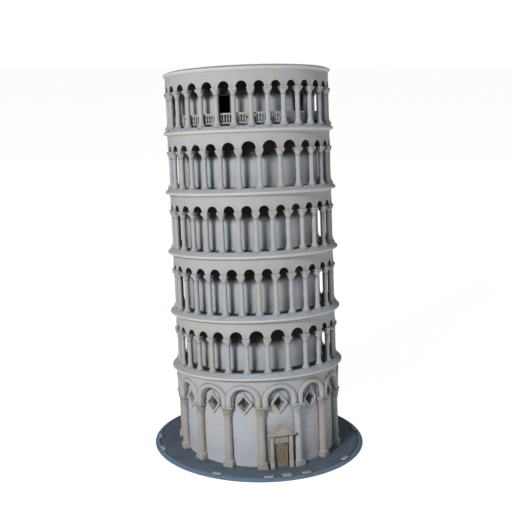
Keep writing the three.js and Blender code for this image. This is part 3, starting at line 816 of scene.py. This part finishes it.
# ------------------------------------------------------------------ portal
def make_portal():
    back, door_half, door_top = 53.4, 4.7, 12.0
    jamb_in, jamb_out, jamb_face, jamb_top = 5.3, 8.0, 56.8, 17.6

    def jamb(side):
        low, high = sorted((side * jamb_in, side * jamb_out))
        return merge(
            chamfered((low + 0.1, -jamb_face, -12), (high - 0.1, -back, jamb_top), 0.3),
            chamfered((low - 0.1, -jamb_face - 0.35, jamb_top - 1.2),
                      (high + 0.1, -back, jamb_top - 0.1), 0.25),
            chamfered((low, -jamb_face - 0.3, -12), (high, -back, 0.6), 0.3),
        )

    for name, side in (("left", -1), ("right", 1)):
        # The jambs' inner sides are painted darker, as painted shadow in the reveal beside the door.
        add_piece(f"door_jamb_{name}", turn(jamb(side), PORTAL_ANGLE), "ground", [f"portal_jamb_{name}"],
                  floor_cut=FLOOR_CUT, wash_and_painted_light=lambda r, z: 0.35 * (1 - smoothstep(r, 54.5, 56.3)),
                  painted_shade=lambda r, z: 0.8 * (1 - smoothstep(r, 54.0, 55.6)))
    bottom = 12.3
    bars = [chamfered((-5.1, -55.5, bottom), (5.1, -back, jamb_top), 0.15)]
    for low, high in ((bottom, bottom + 0.8), (jamb_top - 1.1, jamb_top)):
        bars.append(chamfered((-5.1, -56.0, low), (5.1, -back, high), 0.22))
    for side in (-1, 1):
        x = side * 4.55
        bars.append(chamfered((x - 0.45, -55.95, bottom), (x + 0.45, -back, jamb_top), 0.2))
    for i in range(5):
        leaf = radial(revolve([(0, -0.4), (0.75, -0.3), (0.65, 0.12), (0.3, 0.26), (0, 0.3)], 12))
        bars.append(shift(leaf, (i - 2) * 1.6, -55.5, (bottom + jamb_top) / 2 - 0.1))
    # The lintel is painted darker behind its raised bars, as painted shade.
    add_piece("door_lintel", turn(merge(*bars), PORTAL_ANGLE), "ground", ["portal_lintel"],
              wash_and_painted_light=lambda r, z: 0.4 * (1 - smoothstep(r, 55.4, 55.9)))
    half, bottom, eaves, apex, rake = 9.8, 18.0, 19.4, 25.0, 1.0
    field = [(-half + 1.0, bottom + 0.8), (half - 1.0, bottom + 0.8), (0, apex - 0.8)]
    raking = lambda side: prism([(side * half, eaves - rake * 0.9), (side * half, eaves),
                                 (0, apex), (0, apex - rake)], 56.3, 58.4)
    pediment = merge(
        prism(field, 54.2, 57.8, 0.1),
        raking(-1), raking(1),
        chamfered((-half, -58.3, bottom), (half, -56.3, bottom + 1.1), 0.25),
        chamfered((-8.2, -57.5, bottom), (8.2, -back, bottom + 0.9), 0.2),
    )
    # The sunk field of the pediment is painted darker, as painted shade.
    add_piece("door_pediment", turn(pediment, PORTAL_ANGLE), "ground", ["portal_pediment"],
              wash_and_painted_light=lambda r, z: 0.4 * (1 - smoothstep(r, 56.8, 57.7)))
    make_door_leaf(door_half, door_top, back)


def make_door_leaf(half, top, back):
    """A boarded leaf carved with a framed panel of scrolling bosses."""
    face = 54.2
    bottom = -12
    shells = [chamfered((-half, -face, bottom), (half, -back, top), 0.15)]
    for x in (-half + 0.6, half - 0.6):
        shells.append(chamfered((x - 0.45, -face - 0.4, bottom), (x + 0.45, -face + 0.3, top - 0.2), 0.15))
    for z in (-2.6, top - 0.9):
        shells.append(chamfered((-half + 0.3, -face - 0.4, z - 0.5), (half - 0.3, -face + 0.3, z + 0.5), 0.15))
    rng = np.random.default_rng(4)
    for row in range(7):
        for column in range(4):
            x = (column - 1.5) * 1.75 + (0.45 if row % 2 else -0.2)
            z = -0.9 + row * 1.85
            size = 0.62 + 0.16 * rng.random()
            boss = radial(revolve([(0, -0.4), (size, -0.3), (size * 0.85, 0.15), (size * 0.45, 0.32),
                                   (0, 0.36)], 12))
            shells.append(shift(boss, x, -face, z))
            rim = [(size + 0.1, -0.2), (size + 0.25, 0.1), (size + 0.4, -0.2)]
            ring = radial(revolve(rim, 14, closed=True))
            shells.append(shift(ring, x, -face, z))
    # The leaf's sunk face between the bosses is painted darker, as painted shade.
    add_piece("door_leaf", turn(merge(*shells), PORTAL_ANGLE), "door", ["portal_door"],
              floor_cut=FLOOR_CUT, wash_and_painted_light=lambda r, z: 0.65 * (1 - smoothstep(r, face - 0.05, face + 0.35)))


# ------------------------------------------------------------------ room: camera, floor and lights
def make_room():
    camera_data = bpy.data.cameras.new("camera")
    camera_data.lens = 66.1
    camera_data.sensor_width = 36
    camera_data.clip_start = 0.01
    camera = bpy.data.objects.new("camera", camera_data)
    camera.location = (-2.3 * MM, -641.9 * MM, 267.7 * MM)
    camera.rotation_euler = (math.radians(90 - 11.65), 0, 0)
    bpy.context.scene.collection.objects.link(camera)
    bpy.context.scene.camera = camera

    reach = 60
    add_backdrop("floor", ([(-reach, -reach, 0), (reach, -reach, 0), (reach, reach, 0), (-reach, reach, 0)],
                           [(0, 1, 2, 3)]), 0.4, 0.92)
    wall, faces = revolve([(reach * 0.9, -0.1), (reach * 0.9, reach * 0.3)], 64)
    add_backdrop("horizon", (wall, faces), 0.0, 1.0)

    world = bpy.data.worlds.new("studio")
    world.use_nodes = True
    paint_sky(world)
    bpy.context.scene.world = world

    add_light("key", -33, 27, 1.6, 0.3, 22, (1.0, 0.985, 0.965))
    add_light("fill", 75, 12, 1.6, 0.8, 4.5, (0.95, 0.97, 1.0))
    bpy.context.scene.view_settings.view_transform = "Standard"


def add_backdrop(name, shell, reflects, glows):
    """A pale surface behind the model that the camera sees, but that adds no light of its own."""
    points, faces = shell
    mesh = bpy.data.meshes.new(name)
    mesh.from_pydata([tuple(p) for p in points], [], faces)
    paint = bpy.data.materials.new(f"pale_{name}")
    paint.use_nodes = True
    shader = paint.node_tree.nodes["Principled BSDF"]
    shader.inputs["Base Color"].default_value = (reflects, reflects, reflects, 1)
    shader.inputs["Emission Color"].default_value = (1, 1, 1, 1)
    shader.inputs["Emission Strength"].default_value = glows
    shader.inputs["Roughness"].default_value = 0.9
    shader.inputs["Specular IOR Level"].default_value = 0.0
    mesh.materials.append(paint)
    backdrop = bpy.data.objects.new(name, mesh)
    backdrop.visible_diffuse = False
    backdrop.visible_glossy = False
    backdrop.visible_shadow = False
    bpy.context.scene.collection.objects.link(backdrop)


def paint_sky(world):
    """A pale table's glow from steeply below and a dim room elsewhere, so that shadows keep their depth."""
    nodes, links = world.node_tree.nodes, world.node_tree.links
    place = nodes.new("ShaderNodeTexCoord")
    parts = nodes.new("ShaderNodeSeparateXYZ")
    level = nodes.new("ShaderNodeMapRange")
    level.interpolation_type = "SMOOTHSTEP"
    for key, value in (("From Min", -0.5), ("From Max", -0.22), ("To Min", 1.15), ("To Max", 0.14)):
        level.inputs[key].default_value = value
    links.new(place.outputs["Generated"], parts.inputs[0])
    links.new(parts.outputs["Z"], level.inputs["Value"])
    nodes["Background"].inputs["Color"].default_value = (1, 1, 1, 1)
    links.new(level.outputs["Result"], nodes["Background"].inputs["Strength"])


def add_light(name, azimuth, elevation, distance, size, power, colour):
    """A square soft light that faces the middle of the tower; azimuth 0 is the front, negative to the left."""
    data = bpy.data.lights.new(name, "AREA")
    data.size = size
    data.energy = power
    data.color = colour
    light = bpy.data.objects.new(name, data)
    target = Vector((0, 0, 0.13))
    turn_angle, up = math.radians(azimuth), math.radians(elevation)
    offset = Vector((math.sin(turn_angle) * math.cos(up), -math.cos(turn_angle) * math.cos(up), math.sin(up)))
    light.location = target + offset * distance
    light.rotation_euler = offset.to_track_quat("Z", "Y").to_euler()
    bpy.context.scene.collection.objects.link(light)


# ------------------------------------------------------------------ assembly
make_room()
make_base()
make_ground_drum()
make_ground_columns()
make_ground_arcade()
make_portal()
make_slabs()
for storey in range(STOREYS):
    storey_bays = bay_edges(*ARCADES[storey])
    storey_floor = RIMS[storey][0] + SLAB_RISE
    storey_rim = RIMS[storey + 1][0]
    make_arcade(storey + 1, storey_bays, storey_rim, storey_floor)
    make_gallery_drum(storey + 1, storey_floor, storey_rim - SLAB_LIP - SLAB_COVE)
    if storey == STOREYS - 1:
        make_balustrade(storey_bays, storey_floor)
